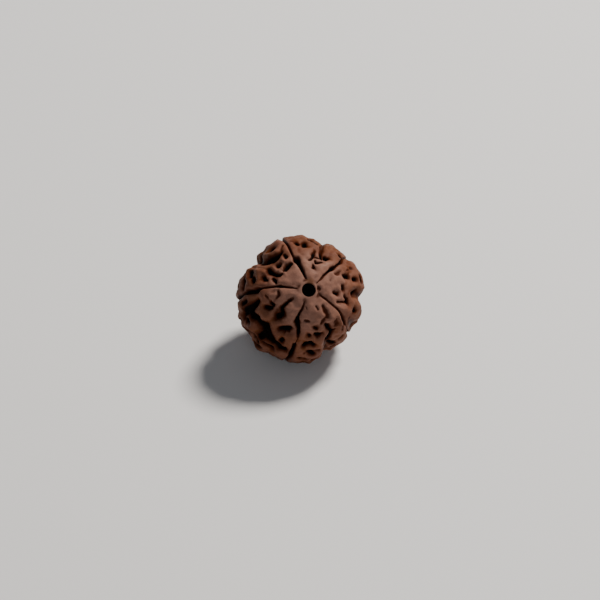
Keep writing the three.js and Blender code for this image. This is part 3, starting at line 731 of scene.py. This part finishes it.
class Nodes:
    """Short calls for building a material's nodes."""

    def __init__(self, name):
        self.material = bpy.data.materials.new(name)
        self.material.use_nodes = True
        self.tree = self.material.node_tree
        self.shader = self.tree.nodes["Principled BSDF"]

    def add(self, kind, **inputs):
        node = self.tree.nodes.new(kind)
        for key, value in inputs.items():
            self.feed(node, key.replace("_", " "), value)
        return node

    def feed(self, node, key, value):
        socket = node.inputs[key]
        if isinstance(value, bpy.types.NodeSocket):
            self.tree.links.new(value, socket)
        else:
            socket.default_value = value

    def values(self, name):
        node = self.tree.nodes.new("ShaderNodeAttribute")
        node.attribute_name = name
        return node.outputs["Fac"]

    def noise(self, size, detail=4.0, roughness=0.55, distortion=0.0):
        """Noise with features of about that size, in mm."""
        place = self.tree.nodes.new("ShaderNodeTexCoord").outputs["Object"]
        node = self.add("ShaderNodeTexNoise", Vector=place, Scale=1 / (size * MM), Detail=detail)
        node.inputs["Roughness"].default_value = roughness
        node.inputs["Distortion"].default_value = distortion
        return node.outputs["Fac"]

    def math(self, operation, a, b=0.0):
        node = self.tree.nodes.new("ShaderNodeMath")
        node.operation = operation
        self.feed(node, 0, a)
        self.feed(node, 1, b)
        return node.outputs[0]

    def span(self, value, low, high, to_low=0.0, to_high=1.0):
        node = self.tree.nodes.new("ShaderNodeMapRange")
        node.interpolation_type = "SMOOTHSTEP"
        self.feed(node, "Value", value)
        self.feed(node, "From Min", low)
        self.feed(node, "From Max", high)
        self.feed(node, "To Min", to_low)
        self.feed(node, "To Max", to_high)
        return node.outputs["Result"]

    def mix(self, share, under, over):
        node = self.tree.nodes.new("ShaderNodeMix")
        node.data_type = "RGBA"
        self.feed(node, 0, share)
        self.feed(node, 6, under if isinstance(under, bpy.types.NodeSocket) else (*under, 1))
        self.feed(node, 7, over if isinstance(over, bpy.types.NodeSocket) else (*over, 1))
        return node.outputs[2]


def ground_colour(m, outward, low_ground):
    """Pale rose round the mouth, redder and partly orange outwards, pale on crests from wear and a
    painted highlight, with painted shade in the dips.
    """
    broad = m.noise(*BROAD_NOISE)
    colour = m.mix(m.span(broad, *TAN_SPAN), REDDISH, PINK_TAN)
    rose = m.math("MULTIPLY", m.span(outward, *ROSE_SPAN), m.span(broad, *ROSE_PATCHES))
    colour = m.mix(rose, colour, ROSE)
    warm = m.math("MULTIPLY", m.span(m.noise(*ORANGE_NOISE), *ORANGE_PATCHES), outward)
    colour = m.mix(m.math("MULTIPLY", warm, ORANGE_SHARE), colour, ORANGE)
    # Crests paler, partly from wear and partly as a painted highlight.
    crest = m.math("MULTIPLY", m.span(low_ground, *CREST_SPAN), m.span(outward, *CREST_OUTWARD))
    colour = m.mix(crest, colour, CREST_WEAR_AND_HIGHLIGHT)
    # Painted shade in the dips.
    return m.mix(m.span(low_ground, *DIP_SHADE_SPAN), colour, DUSKY_SPECKLE_AND_SHADE)


def marked_colour(m, colour, medium, ragged):
    """Painted shade: dark brown in the furrows, and umber to near black in the seams, the pits and the
    bore.
    """
    # Painted shade in the furrows.
    furrow_shade = m.math("POWER", m.values("furrow"), FURROW_POWER)
    colour = m.mix(m.math("MULTIPLY", furrow_shade, m.span(medium, *FURROW_SHADE_PATCHES)), colour, FURROW_SHADE_COLOUR)
    # Painted shade in the seams, the pits and the bore, umber then near black.
    colour = m.mix(m.span(ragged, *UMBER_SHADE_SPAN), colour, UMBER_SHADE)
    return m.mix(m.span(ragged, *CREVICE_SHADE_SPAN), colour, CREVICE_SHADE)


def stone_material():
    m = Nodes("rudraksha_stone")
    medium, fine = m.noise(*MEDIUM_NOISE), m.noise(*FINE_NOISE)
    uneven = m.math("SUBTRACT", medium, 0.5)
    low_ground = m.math("ADD", m.values("hollow"), m.math("MULTIPLY", uneven, GROUND_UNEVEN))
    ragged = m.math("ADD", m.values("mark"), m.math("MULTIPLY", uneven, MARKS_UNEVEN))

    colour = ground_colour(m, m.values("outward"), low_ground)
    colour = m.mix(m.math("MULTIPLY", m.values("stain"), STAIN_SHARE), colour, STAIN)
    colour = m.mix(m.span(fine, *SPECKLE_SPAN), colour, DUSKY_SPECKLE_AND_SHADE)
    m.feed(m.shader, "Base Color", marked_colour(m, colour, medium, ragged))

    dull = m.math("MULTIPLY", m.span(ragged, *DULL_SPAN), DULL_SHARE)
    m.feed(m.shader, "Roughness", m.math("ADD", m.span(medium, *POLISH_SPAN), dull))
    m.shader.inputs["Specular IOR Level"].default_value = SPECULAR_LEVEL

    bump = m.tree.nodes.new("ShaderNodeBump")
    bump.inputs["Strength"].default_value = BUMP_STRENGTH
    bump.inputs["Distance"].default_value = BUMP_DEPTH * MM
    grain = m.math("MULTIPLY", m.noise(*GRAIN_NOISE), GRAIN_SHARE)
    m.feed(bump, "Height", m.math("ADD", fine, grain))
    m.feed(m.shader, "Normal", bump.outputs["Normal"])
    return m.material


def plain_material(name, colour, roughness):
    m = Nodes(name)
    m.shader.inputs["Base Color"].default_value = (*colour, 1)
    m.shader.inputs["Roughness"].default_value = roughness
    return m.material


def linked(name, data):
    made = bpy.data.objects.new(name, data)
    bpy.context.scene.collection.objects.link(made)
    return made


def make_stone():
    stone = linked("rudraksha_stone", stone_mesh())
    stone.data.materials.append(stone_material())
    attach(stone, "root")
    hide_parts(NODE)


def make_floor():
    mesh = bpy.data.meshes.new("floor")
    corners = [(x * FLOOR_HALF, y * FLOOR_HALF, 0) for x, y in ((-1, -1), (1, -1), (1, 1), (-1, 1))]
    mesh.from_pydata(corners, [], [(0, 1, 2, 3)])
    floor = linked("floor", mesh)
    floor.location.z = -FLOOR_DROP
    floor.data.materials.append(plain_material("pale_floor", FLOOR_COLOUR, FLOOR_ROUGHNESS))


def aimed(made, place, target):
    made.location = place
    made.rotation_euler = (target - place).to_track_quat("-Z", "Y").to_euler()


def make_camera():
    data = bpy.data.cameras.new("camera")
    data.sensor_width = SENSOR_WIDTH
    data.lens = SENSOR_WIDTH * CAMERA_DISTANCE / FRAME_WIDTH
    data.clip_start, data.clip_end = CLIP_START * MM, CLIP_END * MM
    camera = linked("camera", data)
    rise = math.radians(CAMERA_ELEVATION)
    back = Vector((0, -math.cos(rise), math.sin(rise)))
    up = Vector((0, math.sin(rise), math.cos(rise)))
    right = Vector((1, 0, 0))
    target = Vector((0, 0, CENTRE_HEIGHT)) + right * AIM_RIGHT + up * AIM_UP
    aimed(camera, (target + back * CAMERA_DISTANCE) * MM, target * MM)
    bpy.context.scene.camera = camera


def make_light(name, place, size, power, colour):
    data = bpy.data.lights.new(name, "AREA")
    data.shape = "DISK"
    data.size = size
    data.energy = power
    data.color = colour
    aimed(linked(name, data), Vector(place), Vector((0, 0, CENTRE_HEIGHT * MM)))


def make_lights():
    make_light("key", **KEY_LIGHT)
    make_light("fill", **FILL_LIGHT)
    world = bpy.data.worlds.new("studio")
    world.use_nodes = True
    background = world.node_tree.nodes["Background"]
    background.inputs["Color"].default_value = (*WORLD_COLOUR, 1)
    background.inputs["Strength"].default_value = WORLD_STRENGTH
    bpy.context.scene.world = world


make_camera()
make_stone()
make_floor()
make_lights()

bpy.context.view_layer.update()
